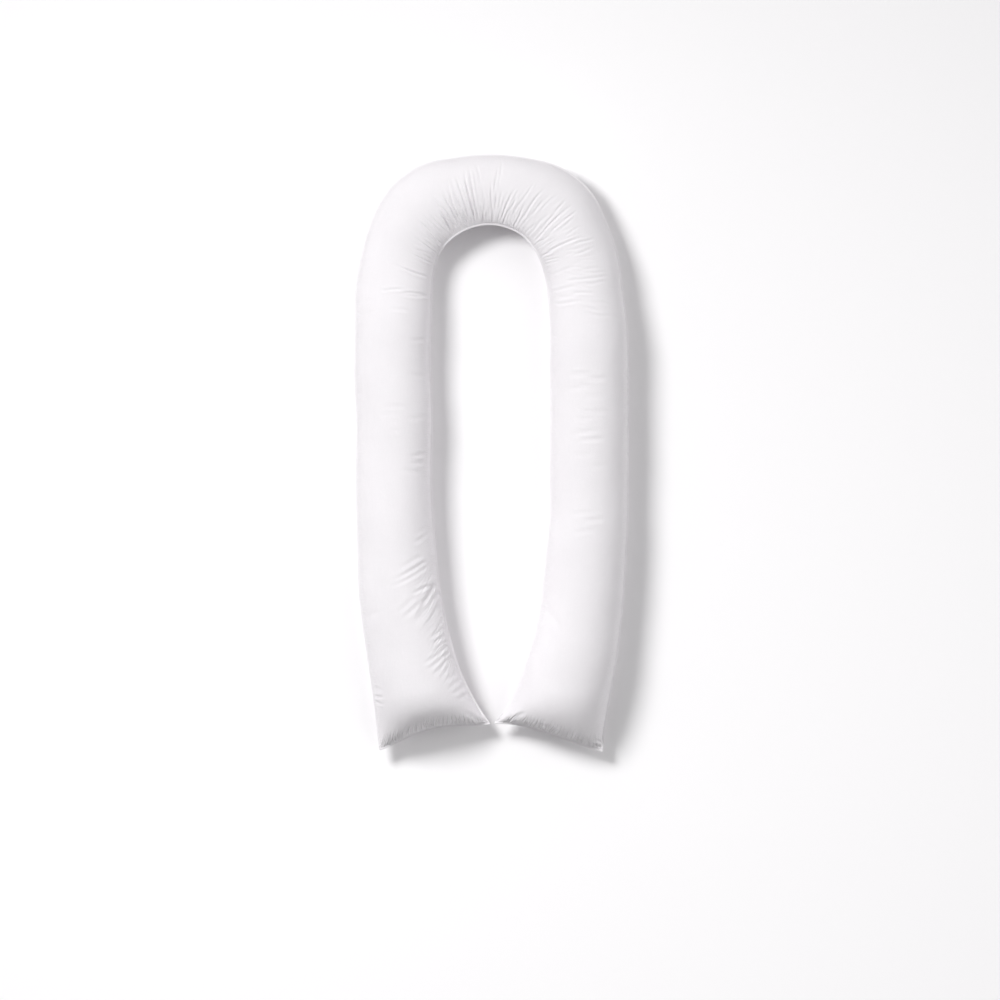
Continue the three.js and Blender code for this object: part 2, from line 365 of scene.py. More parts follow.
def seam_level(share):
    """Height between the panels, with the lips turned down at both sides."""
    on_lip = 1 - np.minimum(share, 1 - share) * width / SEAM_LIP
    return seam + lift * (1 - share) ** 2 - LIP_TURN * fill * np.clip(on_lip, 0, 1)


level = seam_level(above) + thick_above
over = level + full * (crown - level) * bulge_above
level = seam_level(below) - thick_below
under = np.maximum(level - full * (level + PRESS) * bulge_below, 0)
height = np.hstack([over, under[:, ::-1]])
print("height of the case: %.0f mm" % height.max())

# %% [markdown]
# ## The open ends
#
# The stuffing draws the middle of each end seam inward, so the end bows and its two corners stand
# out as ears that droop to the ground. A straight end would be simpler, but the bow is what shows
# that the end is sewn flat. The right end bows less, and nearer its inner corner.

# %% Bowed ends with drooping corners
LEFT_BOW, LEFT_BOW_AT = 28.0, 0.5
RIGHT_BOW, RIGHT_BOW_AT = 15.0, 0.32
BOW_REACH = 75  # how far the bow reaches into the case
BOW_WIDTH = 1.5  # a higher power makes a narrower bow
CORNER_DROOP = 8.0

bow = np.where(on_left, LEFT_BOW, RIGHT_BOW) * np.exp(-((away / BOW_REACH) ** 2))
skew = np.log(0.5) / np.log(np.where(on_left, LEFT_BOW_AT, RIGHT_BOW_AT))
inward = bow * np.sin(np.pi * share**skew) ** BOW_WIDTH
droop = CORNER_DROOP * (1 - fill) * (2 * share - 1) ** 2
plan = inner[:, None] + across[:, None] * (share * width)[..., None]
plan = plan + towards_bend[:, None] * inward[..., None]
seam_height = seam + lift * (1 - share) ** 2 - droop
points = np.concatenate([plan, (height - droop)[..., None]], 2)
print("the ends bow by %.0f and %.0f mm" % (inward[0].max(), inward[-1].max()))

# %% [markdown]
# ## Where the cloth was before it was sewn
#
# Each panel was cut flat, so its threads run straight along the legs and carry on straight across
# the bend. To weave them in the material later, every point remembers its place in the flat cloth,
# and also how far it is from the sewn edges, for the stitches and the puckers beside them. A UV map
# could hold two of these numbers. Named marks on the points hold them all.

# %% Places in the flat cloth
def flat_cloth():
    """Each point's place in the flat panel it belongs to, in millimetres."""
    upper = UPPER_POINTS + LIP_POINTS
    places = []
    for panel in (points[:, :upper], points[:, upper:][:, ::-1]):
        steps = np.linalg.norm(np.diff(panel, axis=1), axis=2)
        went = np.hstack([np.zeros((len(steps), 1)), np.cumsum(steps, axis=1)])
        offset = went - went[:, -1:] / 2
        places.append(middle[:, None] + across[:, None] * offset[..., None])
    return np.concatenate([places[0], places[1][:, ::-1]], 1)


cloth_places = flat_cloth()
print("half of the flat cloth: %.0f mm" % np.abs(cloth_places[..., 0]).max())

# %% What every point remembers
marks = {
    "share": share,
    "cut_x": cloth_places[..., 0],
    "cut_y": cloth_places[..., 1],
    "from_side": np.minimum(share, 1 - share) * width,
    "side_run": np.where(share < 0.5, walked(inner)[:, None], walked(outer)[:, None]),
    "from_end": away + SEAM_LIP + 0 * share,
    "seam_height": seam_height,
    "gathered": gathered + 0 * share,
    "flared": flared + 0 * share,
}
print("marks on every point:", ", ".join(marks))

# %% [markdown]
# ## Closing the case
#
# The two panels are sewn together across the ends as well. One more ring at each end stands a lip's
# width outside, and the faces that close it join its upper points to its lower ones. So the case is
# one closed skin, as it has to be to hold its stuffing.

# %% Lips past the end seams
outward = points[[0, -1]].mean(1) - points[[2, -3]].mean(1)
outward[:, 2] = 0
outward *= SEAM_LIP / np.linalg.norm(outward, axis=1)[:, None]
points = np.concatenate([points[:1] + outward[0], points, points[-1:] + outward[1]])
marks = {name: np.concatenate([mark[:1], mark, mark[-1:]]) for name, mark in marks.items()}
marks["from_end"][[0, -1]] = 0
marks["cut_y"][[0, -1]] -= SEAM_LIP
print("rings with both end lips:", len(points))

# %% Put the case in the middle
outline_low = points.reshape(-1, 3).min(0)
outline_high = points.reshape(-1, 3).max(0)
shift = ((outline_low + outline_high) / 2)[:2]
points[..., :2] -= shift
BEND_MIDDLE = BEND_CENTRE - shift
print("case size in mm:", np.round(outline_high - outline_low, 1))


# %% Faces between the rings
def case_faces(rings, around):
    """Four-sided faces between the rings, and five-sided ones across the lip at either end."""
    k, i = np.meshgrid(np.arange(rings - 1), np.arange(around), indexing="ij")
    a, b = k * around + i, k * around + (i + 1) % around
    walls = np.stack([a, a + around, b + around, b], -1).reshape(-1, 4)
    i = np.arange(LOWER_POINTS + LIP_POINTS - 1)
    start = np.stack([2 * i, 2 * i + 1, 2 * i + 2, around - 2 - i, around - 1 - i], -1)
    end = (rings - 1) * around + start[:, ::-1]
    return walls.tolist() + start.tolist() + end.tolist()


def make_piece(name, points, faces):
    """A mesh object with the given points in millimetres."""
    mesh = bpy.data.meshes.new(name)
    mesh.from_pydata((np.reshape(points, (-1, 3)) * MM).tolist(), [], faces)
    mesh.validate()
    piece = bpy.data.objects.new(name, mesh)
    bpy.context.scene.collection.objects.link(piece)
    return piece


# %% Make the case
pillow = make_piece("stuffed_case", points, case_faces(*points.shape[:2]))
for mark_name, mark in marks.items():
    attribute = pillow.data.attributes.new(mark_name, "FLOAT", "POINT")
    attribute.data.foreach_set("value", mark.ravel().astype(np.float32))
print("faces before subdivision:", len(pillow.data.polygons))

# %% [markdown]
# ## Swelling
#
# Stuffed cloth is tight in the middle of a panel and slack by its seams. Sculpting that by hand
# takes long. Blender's cloth simulation finds it by itself: air pressure pushes the case outwards
# while the sewn lip is held. The cloth is given a little more length than the shape needs, so it
# puckers along the seams as sewn cotton does. How far a point may move is capped, because the plan
# is already right.

# %% Read and write the points of a mesh
def read_points(mesh):
    """The places of all points, in metres."""
    flat = np.empty(len(mesh.vertices) * 3, np.float32)
    mesh.vertices.foreach_get("co", flat)
    return flat.reshape(-1, 3).astype(float)


def write_points(mesh, points):
    """Moves all points to the given places, in metres."""
    mesh.vertices.foreach_set("co", points.ravel().astype(np.float32))
    mesh.update()


# %% Set up the cloth
SWELL_FRAMES = 20
PRESSURE = 4.0
SLACK = 0.001  # share of its length by which the cloth is longer
QUALITY = 6
CLOTH_MASS = 0.15
STRETCH_STIFFNESS, BENDING_STIFFNESS = 20, 0.3


def stuff(piece, sewn):
    """Turns the piece to cloth under pressure, held still at its sewn points."""
    held = piece.vertex_groups.new(name="sewn")
    held.add([int(i) for i in sewn], 1.0, "REPLACE")
    cloth = piece.modifiers.new("swelling", "CLOTH")
    cloth.point_cache.frame_end = SWELL_FRAMES
    settings = cloth.settings
    settings.quality = QUALITY
    settings.mass = CLOTH_MASS
    settings.tension_stiffness = settings.compression_stiffness = STRETCH_STIFFNESS
    settings.bending_stiffness = BENDING_STIFFNESS
    settings.effector_weights.gravity = 0
    settings.use_pressure = True
    settings.uniform_pressure_force = PRESSURE
    settings.shrink_min = settings.shrink_max = -SLACK
    settings.vertex_group_mass = held.name
    cloth.collision_settings.use_collision = False
    return cloth


# %% Swell the case
SWELL_CAP = 5.0  # millimetres that a point may move


def swell(piece, sewn):
    """Runs the cloth under pressure and keeps the swollen points, capped."""
    cloth = stuff(piece, sewn)
    before = read_points(piece.data)
    scene = bpy.context.scene
    for step in range(1, SWELL_FRAMES + 1):
        scene.frame_set(step)
    posed = piece.evaluated_get(bpy.context.evaluated_depsgraph_get())
    move = read_points(posed.data) - before
    far = np.linalg.norm(move, axis=1)[:, None]
    cap = SWELL_CAP * MM
    move *= cap * np.tanh(far / cap) / np.maximum(far, 1e-9)
    piece.modifiers.remove(cloth)
    scene.frame_set(1)
    write_points(piece.data, before + move)
    print("swelling moved points by up to %.1f mm, kept %.1f" % (far.max() / MM, cap / MM))


on_seam = (marks["from_side"] < SEAM_LIP + 0.5) | (marks["from_end"] < SEAM_LIP + 0.5)
swell(pillow, np.flatnonzero(on_seam.ravel()))
print("points on the sewn edge:", int(on_seam.sum()))

# %% [markdown]
# ## Finer cloth
#
# The swollen mesh is too coarse for the creases. Finer rings from the start would make the
# simulation slow, so the mesh is subdivided once after it, which also rounds it. Each point still
# knows its share of the width, because a named mark is carried through the subdivision.


# %% Subdivide once
def subdivide(piece):
    """Replaces the piece's mesh by its once subdivided form."""
    finer = piece.modifiers.new("finer", "SUBSURF")
    finer.levels = finer.render_levels = 1
    posed = piece.evaluated_get(bpy.context.evaluated_depsgraph_get())
    mesh = bpy.data.meshes.new_from_object(posed)
    piece.modifiers.clear()
    piece.data = mesh
    mesh.name = piece.name


subdivide(pillow)
pillow.data.shade_smooth()
print("faces after subdivision:", len(pillow.data.polygons))

# %% [markdown]
# ## Creases round the bend
#
# Round the bend the inner side of the tube is shorter than the cloth, so it gathers into creases
# that run from the inner edge out over the crown. A finer simulation would make creases too, but
# not these ones. Every large crease below is placed one by one, as degrees round the bend at its
# inner and its outer end, shares of the width where it starts and stops, and its depth and half its
# width in millimetres. Each is a soft trough with a low ridge on either side.


# %% The section of a crease
RIDGE, RIDGE_AT = 0.45, 2.0  # height and place of the ridges, against the groove's
FADE_IN, FADE_OUT = 0.12, 0.35  # shares of a crease's run


def trough(off):
    """A soft groove with a low ridge on either side, 1 deep at its middle."""
    return np.exp(-(off**2)) - RIDGE * np.exp(-((np.abs(off) - RIDGE_AT) ** 2))


def run_along(share, crease):
    """0 at the start of a crease, 1 at its stop."""
    return np.clip((share - crease["start"]) / (crease["stop"] - crease["start"]), 0, 1)


def reach(share, crease):
    """Fades a crease in at its start and out at its stop."""
    run = crease["stop"] - crease["start"]
    rise = smooth(share, crease["start"] - 0.03, crease["start"] + FADE_IN * run)
    return rise * (1 - smooth(share, crease["stop"] - FADE_OUT * run, crease["stop"] + 0.02))


print("a crease 1 mm deep has ridges %.2f mm high" % -trough(RIDGE_AT))

# %% Creases on the left half of the bend
BEND_COLUMNS = "inner outer start stop depth half"
BEND_CREASES = table(BEND_COLUMNS, [
    (188, 186, 0.06, 0.40, 1.6, 4.5),
    (186, 184.5, 0.10, 0.42, 1.8, 4.5),
    (182.5, 182, 0.38, 0.66, 1.4, 4.5),
    (171.5, 167.5, 0.08, 0.52, 2.0, 4.5),
    (145, 146, 0.05, 0.28, 1.0, 3.5),
    (139.5, 138, 0.05, 0.44, 2.4, 3.6),
    (134, 133.5, 0.12, 0.46, 1.0, 3.4),
    (130, 131, 0.10, 0.42, 1.2, 3.4),
    (125.3, 125, 0.05, 0.34, 3.4, 3.0),
    (121, 123.5, 0.08, 0.56, 2.2, 3.4),
    (117.8, 117, 0.08, 0.56, 2.8, 3.4),
    (115, 114.5, 0.12, 0.60, 1.6, 3.2),
    (110, 112.5, 0.08, 0.56, 2.0, 3.4),
    (108.5, 107.5, 0.10, 0.76, 2.2, 3.4),
    (104, 103.3, 0.08, 0.80, 3.0, 3.6),
    (100.3, 101.2, 0.08, 0.88, 1.9, 3.6),
    (97, 94.6, 0.06, 0.32, 1.5, 3.4),
    (96.4, 96.6, 0.60, 0.86, 1.0, 4.5),
    (88.6, 90.5, 0.04, 0.58, 2.8, 3.6),
    (87.6, 87.2, 0.48, 0.80, 1.6, 4.0),
    (86, 85.0, 0.55, 0.92, 1.2, 4.5),
])
print("creases on the left half:", len(BEND_CREASES))

# %% Creases on the right half of the bend
BEND_CREASES += table(BEND_COLUMNS, [
    (82.6, 75.0, 0.06, 0.58, 2.7, 3.6),
    (79.8, 73.4, 0.04, 0.42, 2.6, 3.4),
    (72.5, 67.2, 0.22, 0.68, 2.0, 3.6),
    (69.6, 67.6, 0.05, 0.34, 2.8, 3.4),
    (65.5, 61.2, 0.18, 0.66, 2.6, 3.6),
    (60, 57.8, 0.28, 0.66, 1.2, 4.0),
    (53.6, 53.4, 0.05, 0.30, 1.5, 3.6),
    (49.6, 48.8, 0.03, 0.76, 2.0, 3.8),
    (46.8, 45.4, 0.06, 0.74, 3.0, 3.8),
    (42.2, 42.0, 0.24, 0.74, 2.4, 3.8),
    (39.5, 40.3, 0.40, 0.68, 1.2, 4.0),
    (34.5, 34.0, 0.44, 0.64, 1.3, 4.0),
    (31.4, 29.2, 0.06, 0.60, 2.6, 4.2),
    (26.4, 25.2, 0.50, 0.76, 1.8, 4.2),
    (20.8, 20.6, 0.44, 0.72, 2.0, 4.2),
    (12, 13, 0.10, 0.40, 0.8, 5),
    (9.5, 10.5, 0.46, 0.74, 1.3, 5),
    (4.0, 5.5, 0.30, 0.86, 2.2, 4.6),
    (1.4, 2.6, 0.52, 0.80, 1.3, 5),
    (-3.7, 0.6, 0.06, 0.42, 1.9, 5),
    (-5.2, -3.1, 0.34, 0.60, 1.9, 4.6),
    (-9.0, -5.6, 0.14, 0.36, 1.1, 5),
    (-14.6, -9.3, 0.08, 0.44, 2.0, 5),
    (-9.4, -8.2, 0.56, 0.80, 1.1, 5),
    (-13.3, -12.3, 0.46, 0.66, 1.8, 5),
    (-15.8, -13.6, 0.56, 0.82, 1.2, 5),
])
print("creases round the bend:", len(BEND_CREASES))

# %% [markdown]
# ## Small gathers between the creases
#
# Between the large creases lie many short shallow ones, too small in the picture to place one by
# one. They are strewn at uneven distances: one row beside the inner seam, and one further out. A
# fixed seed makes them the same in every run.

# %% Strew the small gathers
GATHER_DEPTHS, GATHER_HALVES = (0.4, 1.2), (3.0, 4.2)
RIGHT_LEAN = 3.0  # degrees that the gathers lean over on the right half


def fine_gathers(seed, count, angles, starts, lengths):
    """Short shallow gathers between the creases, at uneven distances round the bend."""
    chance = np.random.default_rng(seed)
    rows = []
    for angle in np.linspace(*angles, count) + chance.uniform(-0.8, 0.8, count):
        start = chance.uniform(*starts)
        stop = start + chance.uniform(*lengths)
        lean = chance.uniform(-1.5, 1.5) - RIGHT_LEAN * (angle < 85)
        depth, half = chance.uniform(*GATHER_DEPTHS), chance.uniform(*GATHER_HALVES)
        rows.append((angle, angle + lean, start, stop, depth, half))
    return table(BEND_COLUMNS, rows)


GATHERS = fine_gathers(7, 46, (158, 22), (0.03, 0.09), (0.12, 0.42))
GATHERS += fine_gathers(11, 52, (122, 2), (0.20, 0.54), (0.14, 0.34))
print("small gathers:", len(GATHERS))

# %% Depth round the bend
NARROW = 0.8  # all creases of the bend are narrowed by this
LEFT_HALF, RIGHT_HALF = 1.5, 0.74  # the left half of the bend is gathered more tightly
BEND_SWAY = 0.35  # degrees that a crease sways to either side


def bend_depth(points, share, creases):
    """How deep the cloth is pressed in round the bend, in millimetres."""
    angle = bend_angle(points, BEND_MIDDLE)
    radius = np.linalg.norm(points - BEND_MIDDLE, axis=1)
    depth = np.zeros(len(points))
    for number, crease in enumerate(creases):
        run = run_along(share, crease)
        sway = BEND_SWAY * np.sin(1.7 * number + 5 * run)
        centre = blend(crease["inner"], crease["outer"], run) + sway
        off = np.radians(angle - centre) * radius / (NARROW * crease["half"])
        depth += crease["depth"] * trough(off) * reach(share, crease)
    return depth * blend(RIGHT_HALF, LEFT_HALF, smooth(angle, 75, 112))


# %% [markdown]
# ## Creases along the legs
#
# The legs are stuffed tight and nearly smooth, with a few soft creases across them. Where the left
# leg flares towards its end, its inner side has long slanting ones. They are placed one by one as
# those of the bend are, but with places along the leg, in millimetres, in place of angles.

# %% Creases along the left leg
LEG_COLUMNS = "side inner outer start stop depth half"
LEG_CREASES = table(LEG_COLUMNS, [
    (-1, 416, 421, 0.30, 0.52, 1.0, 5),
    (-1, 330, 330, 0.08, 0.26, 1.8, 5),
    (-1, 226, 224, 0.08, 0.26, 1.9, 5),
    (-1, 133, 127, 0.34, 0.66, 1.5, 5),
    (-1, 112, 109, 0.46, 0.72, 1.0, 5),
    (-1, 104, 94, 0.08, 0.32, 2.2, 5),
    (-1, 62, 57, 0.40, 0.56, 0.9, 5),
    (-1, -10, -18, 0.06, 0.30, 2.6, 5),
    (-1, -28, -38, 0.06, 0.28, 2.8, 5),
    (-1, -60, -62, 0.14, 0.40, 1.4, 6),
    (-1, -226, -250, 0.05, 0.24, 2.2, 5),
    (-1, -240, -272, 0.04, 0.26, 2.2, 5),
    (-1, -335, -362, 0.10, 0.34, 1.0, 6),
    (-1, -312, -350, 0.20, 0.46, 1.0, 5),
    (-1, -328, -385, 0.12, 0.56, 2.4, 4.6),
    (-1, -345, -404, 0.12, 0.58, 1.9, 4.6),
    (-1, -397, -428, 0.10, 0.36, 2.2, 4),
    (-1, -388, -512, 0.03, 0.38, 3.8, 4.2),
    (-1, -402, -524, 0.04, 0.37, 3.2, 4.0),
    (-1, -414, -516, 0.02, 0.31, 3.2, 4),
    (-1, -438, -496, 0.17, 0.50, 1.7, 5),
    (-1, -433, -482, 0.32, 0.56, 1.4, 5),
    (-1, -452, -520, 0.03, 0.22, 1.6, 4.2),
    (-1, -480, -530, 0.03, 0.22, 0.9, 4.4),
    (-1, -506, -548, 0.04, 0.20, 0.9, 4.2),
    (-1, -526, -554, 0.05, 0.20, 1.3, 4.2),
    (-1, -548, -578, 0.05, 0.24, 1.5, 4.2),
    (-1, -567, -596, 0.05, 0.22, 1.0, 4.2),
    (-1, -580, -634, 0.05, 0.37, 2.0, 4.2),
    (-1, -594, -652, 0.04, 0.34, 2.3, 4.2),
    (-1, -610, -668, 0.03, 0.31, 2.2, 4.2),
    (-1, -622, -681, 0.04, 0.26, 1.2, 4.2),
    (-1, -655, -690, 0.03, 0.22, 0.9, 4.2),
    (-1, -680, -708, 0.03, 0.20, 1.0, 4.2),
    (-1, -700, -722, 0.03, 0.18, 0.9, 4),
    (-1, -722, -742, 0.03, 0.16, 0.8, 4),
    (-1, -707, -705, 0.90, 1.06, 1.6, 3.6),
    (-1, -716, -713, 0.91, 1.06, 1.3, 3.6),
    (-1, -731, -728, 0.90, 1.06, 1.6, 3.6),
    (-1, -751, -748, 0.91, 1.06, 1.4, 3.6),
])
print("creases along the left leg:", len(LEG_CREASES))

# %% Creases along the right leg
LEG_CREASES += table(LEG_COLUMNS, [
    (1, 224, 232, 0.26, 0.54, 2.0, 5.4),
    (1, 214, 219, 0.46, 0.74, 2.4, 5),
    (1, 186, 193, 0.26, 0.50, 1.2, 5.6),
    (1, 158, 163, 0.44, 0.70, 0.9, 6),
    (1, 114, 121, 0.42, 0.80, 1.7, 5.4),
    (1, 96, 102, 0.34, 0.62, 1.4, 5.4),
    (1, 49, 61, 0.28, 0.60, 1.8, 5.2),
    (1, 30, 40, 0.38, 0.70, 2.2, 5),
    (1, -12, -5, 0.30, 0.54, 0.9, 6),
    (1, -48, -41, 0.52, 0.80, 1.0, 6),
    (1, -188, -180, 0.28, 0.54, 1.6, 5.4),
    (1, -206, -198, 0.46, 0.72, 2.1, 5),
    (1, -241, -236, 0.34, 0.58, 1.3, 5.4),
    (1, -468, -545, 0.05, 0.36, 0.9, 10),
])
print("creases along both legs:", len(LEG_CREASES))

# %% Depth along the legs
LEG_WIDTH = 235  # across a leg
LEG_SWAY = 1.6  # millimetres that a crease sways to either side


def leg_depth(points, share, creases):
    """How deep the cloth is pressed in along the legs, in millimetres."""
    depth = np.zeros(len(points))
    for number, crease in enumerate(creases):
        run = run_along(share, crease)
        sway = LEG_SWAY * np.sin(1.9 * number + 4 * run)
        centre = blend(crease["inner"], crease["outer"], run) + sway
        rise = crease["outer"] - crease["inner"]
        slope = rise / (LEG_WIDTH * (crease["stop"] - crease["start"]))
        off = (points[:, 1] + shift[1] - centre) / np.hypot(1, slope) / crease["half"]
        on_side = points[:, 0] * crease["side"] > 0
        depth += crease["depth"] * trough(off) * reach(share, crease) * on_side
    return depth


# %% [markdown]
# ## Pleats and folds at the ends
#
# The end seams are sewn flat while the case behind them is round, so the cloth pleats at right
# angles to them. Each pleat starts at a share of the width, slants a little and fades out after its
# length. A few straight folds lie in the corners, given by both their ends.

# %% Pleats at both ends
END_PLEATS = table("side share slant length depth half", [
    (-1, 0.14, 0.2, 20, 1.2, 2.8),
    (-1, 0.22, 0.2, 26, 1.0, 3),
    (-1, 0.30, 0.1, 34, 1.3, 3),
    (-1, 0.37, 0.0, 30, 1.6, 3),
    (-1, 0.45, 0.0, 26, 1.3, 3),
    (-1, 0.52, 0.1, 40, 1.5, 3.2),
    (-1, 0.585, 0.0, 48, 3.2, 2.8),
    (-1, 0.625, -0.1, 44, 2.6, 2.8),
    (-1, 0.68, 0.0, 36, 1.4, 3),
    (-1, 0.74, -0.1, 42, 1.5, 3),
    (-1, 0.80, -0.1, 44, 2.2, 3),
    (-1, 0.87, -0.2, 30, 1.6, 2.8),
    (-1, 0.93, -0.2, 22, 1.6, 2.6),
    (1, 0.26, 0.5, 36, 1.6, 3),
    (1, 0.32, 0.5, 44, 2.2, 3),
    (1, 0.37, 0.5, 50, 3.2, 3),
    (1, 0.42, 0.5, 52, 3.8, 2.8),
    (1, 0.47, 0.5, 46, 3.4, 2.8),
    (1, 0.52, 0.45, 50, 2.8, 3),
    (1, 0.57, 0.4, 42, 2.6, 3),
    (1, 0.62, 0.3, 48, 3.2, 3),
    (1, 0.67, 0.25, 44, 2.4, 2.8),
    (1, 0.72, 0.2, 50, 3.0, 2.8),
    (1, 0.77, 0.1, 46, 3.0, 2.8),
    (1, 0.82, 0.0, 48, 2.8, 2.8),
    (1, 0.87, -0.1, 42, 3.0, 2.6),
    (1, 0.915, -0.2, 32, 2.6, 2.4),
    (1, 0.955, -0.2, 26, 2.6, 2.2),
])
print("pleats at the ends:", len(END_PLEATS))

# %% Folds in the corners
CORNER_FOLDS = table("x y to_x to_y depth half", [
    (-26, -816, -80, -774, 2.2, 5),
    (38, -814, 66, -796, 3.2, 4.4),
    (64, -798, 98, -777, 3.4, 4.4),
    (296, -874, 330, -888, 2.2, 3.4),
    (312, -862, 333, -872, 1.8, 3.4),
])
print("folds in the corners:", len(CORNER_FOLDS))

# %% Depth at the ends
END_WIDTH = 340  # across an end
PLEAT_SWAY = 0.006  # share of the width that a pleat sways to either side


def pleat_depth(points, share, from_end, pleats):
    """How deep the cloth is pressed in by pleats that run in from the end seams."""
    depth = np.zeros(len(points))
    for number, pleat in enumerate(pleats):
        length = pleat["length"]
        sway = PLEAT_SWAY * np.sin(2.3 * number + from_end / 14)
        centre = pleat["share"] + sway + pleat["slant"] * from_end / END_WIDTH
        off = (share - centre) * END_WIDTH / pleat["half"]
        fade = smooth(from_end, 2, 8) * (1 - smooth(from_end, 0.3 * length, length))
        on_side = points[:, 0] * pleat["side"] > 0
        depth += pleat["depth"] * trough(off) * fade * on_side
    return depth


def fold_depth(points, folds):
    """How deep the cloth is pressed in along short straight folds."""
    depth = np.zeros(len(points))
    for fold in folds:
        start = np.array([fold["x"], fold["y"]]) - shift
        run = np.array([fold["to_x"], fold["to_y"]]) - shift - start
        length = np.linalg.norm(run)
        run = run / length
        went = (points - start) @ run
        off = ((points - start) @ np.array([-run[1], run[0]])) / fold["half"]
        fade_in = smooth(went, -0.1 * length, 0.25 * length)
        fade_out = 1 - smooth(went, 0.6 * length, 1.15 * length)
        depth += fold["depth"] * trough(off) * (fade_in * fade_out)
    return depth


# %% [markdown]
# ## Pressing them in
#
# Fibre filling never lies evenly, so the top also has low wide swells, made of a few slow waves. A
# bump in the material could draw all of this, but it would vanish from the outline and from the
# mesh, so the points themselves move along their normals. The upper panel takes the full depth, the
# sides below the seam take part of it, and nothing goes below the ground.


# %% Uneven stuffing
LUMP_HEIGHT = 0.9


def lumps(points, upper):
    """Low swells where the filling lies unevenly, in millimetres."""
    x, y = points[:, 0], points[:, 1]
    wave = np.sin(y / 47 + 1.3 * np.sin(x / 160)) + 0.8 * np.sin(y / 71 + x / 90 + 2.0)
    wave = wave + 0.6 * np.sin(x / 38 - y / 105 + 0.7)
    return LUMP_HEIGHT * wave * upper


# %% Depth of everything together
LOWER_CREASES, LOWER_PLEATS = 0.6, 0.7  # their depths below the seam, against 1 above it
ABOVE_SEAM, BELOW_SEAM, ABOVE_GROUND = (1, 9), (4, 16), (4, 30)


def mark_of(mesh, name):
    """What the points of a mesh remember under a name."""
    values = np.empty(len(mesh.vertices), np.float32)
    mesh.attributes[name].data.foreach_get("value", values)
    return values.astype(float)


def pressed_depth(mesh, points):
    """How deep every point is pressed in, in millimetres."""
    plan = points[:, :2]
    share, from_end = mark_of(mesh, "share"), mark_of(mesh, "from_end")
    above_seam = points[:, 2] - mark_of(mesh, "seam_height")
    upper = smooth(above_seam, *ABOVE_SEAM)
    lower = smooth(-above_seam, *BELOW_SEAM) * smooth(points[:, 2], *ABOVE_GROUND)
    creases = bend_depth(plan, share, BEND_CREASES) + bend_depth(plan, share, GATHERS)
    creases += leg_depth(plan, share, LEG_CREASES)
    pleats = pleat_depth(plan, share, from_end, END_PLEATS)
    depth = creases * (upper + LOWER_CREASES * lower) + pleats * (upper + LOWER_PLEATS * lower)
    return depth + fold_depth(plan, CORNER_FOLDS) * upper - lumps(plan, upper)


# %% Press the creases in
def press(piece):
    """Moves the points along their normals into the creases, and keeps the underside flat."""
    mesh = piece.data
    points = read_points(mesh) / MM
    normals = np.empty(len(points) * 3, np.float32)
    mesh.vertex_normals.foreach_get("vector", normals)
    depth = pressed_depth(mesh, points)
    points -= normals.reshape(-1, 3) * depth[:, None]
    points[:, 2] = np.maximum(points[:, 2], 0)
    write_points(mesh, points * MM)
    print("deepest crease:", round(float(depth.max()), 1), "mm")


press(pillow)

# %% [markdown]
# ## A way to write materials
#
# A material is a tree of nodes, and a node's output is called a socket. Written by hand, each sum
# of two sockets takes three lines. Here a small class wraps a socket, so that ordinary Python sums
# add the Math nodes, and one method adds every other kind of node.


# %% Sums of sockets
class Socket:
    """A node's output that takes part in Python sums. Each sum adds its own Math node."""

    def __init__(self, recipe, output):
        self.recipe, self.output = recipe, output

    def math(self, operation, *others):
        return self.recipe.math(operation, self, *others)

    def __add__(self, other):
        return self.math("ADD", other)

    def __sub__(self, other):
        return self.math("SUBTRACT", other)

    def __rsub__(self, other):
        return self.recipe.math("SUBTRACT", other, self)

    def __mul__(self, other):
        return self.math("MULTIPLY", other)

    def __truediv__(self, other):
        return self.math("DIVIDE", other)

    def __rtruediv__(self, other):
        return self.recipe.math("DIVIDE", other, self)

    def __gt__(self, other):
        return self.math("GREATER_THAN", other)

    def __lt__(self, other):
        return self.math("LESS_THAN", other)

    def __abs__(self):
        return self.math("ABSOLUTE")

    __radd__ = __add__
    __rmul__ = __mul__


# %% One method for every node
class Recipe:
    """The nodes of a material, a lamp or the world, up to the one that they end in."""

    def __init__(self, owner, last):
        owner.use_nodes = True
        self.owner, self.tree = owner, owner.node_tree
        self.last = self.tree.nodes[last]

    def join(self, item, slot):
        """Links a socket to a slot, or sets the slot's own value."""
        if isinstance(item, Socket):
            self.tree.links.new(item.output, slot)
        else:
            slot.default_value = item

    def node(self, kind, settings, sockets, output=0):
        """Adds a node: its settings first, then the values or links of its sockets."""
        node = self.tree.nodes.new("ShaderNode" + kind)
        for name, value in settings.items():
            setattr(node, name, value)
        for name, item in sockets.items():
            self.join(item, node.inputs[name])
        return Socket(self, node.outputs[output])

    def math(self, operation, *items):
        """A Math node of sockets and numbers, in the order of its inputs."""
        return self.node("Math", {"operation": operation}, dict(enumerate(items)))

    def finish(self, looks):
        """Gives the last node its values or links."""
        for name, item in looks.items():
            self.join(item, self.last.inputs[name])


